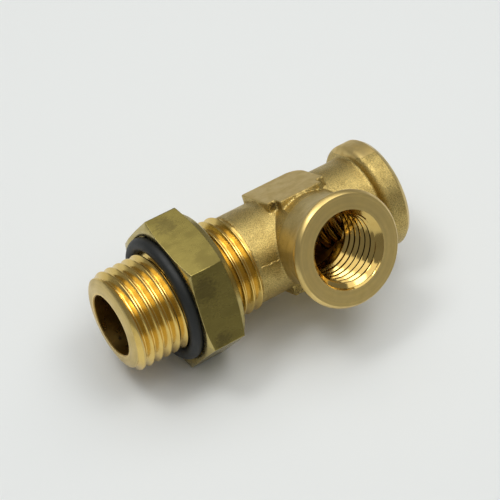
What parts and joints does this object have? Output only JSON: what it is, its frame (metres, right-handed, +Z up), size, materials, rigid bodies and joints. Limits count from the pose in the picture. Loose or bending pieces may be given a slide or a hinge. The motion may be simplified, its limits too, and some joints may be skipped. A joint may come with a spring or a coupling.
{
  "type": "air tee connector",
  "caption": "Brass tee fitting with a threaded stud, a lock nut with a seal ring on the stud, and tapped end and side ports.",
  "frame": {"origin": "where the axes of the run and the branch cross", "axes": "+X along the run towards the far port, with the threaded stud towards -X; +Z up with one flat of the nut underneath; the branch port faces -Y and 32 degrees upwards"},
  "size_m": [0.0497, 0.0305, 0.0266],
  "materials": {
    "forged_brass": "matt forged grain on the body, satin on the turned faces and threads",
    "tarnished_brass": "smooth drawn flats with olive tarnish and brighter turned faces",
    "black_rubber": "matt black"
  },
  "bodies": {
    "tee_body": {"tee_body": "forged_brass"},
    "seal_ring": {"seal_ring": "black_rubber"},
    "lock_nut": {"lock_nut": "tarnished_brass"}
  },
  "joints": [
    {"name": "nut_travel", "type": "slide", "parent": "tee_body", "child": "seal_ring", "axis": [1, 0, 0], "range_m": [-0.00751, 0.00451]},
    {"name": "nut_spin", "type": "hinge", "parent": "seal_ring", "child": "lock_nut", "pos_m": [-0.0205, 0, 0], "axis": [1, 0, 0], "range_deg": [-1800, 1080]}
  ],
  "couplings": [
    {"joint": "nut_travel", "follows": "nut_spin", "m_per_rad": 0.00023873}
  ]
}
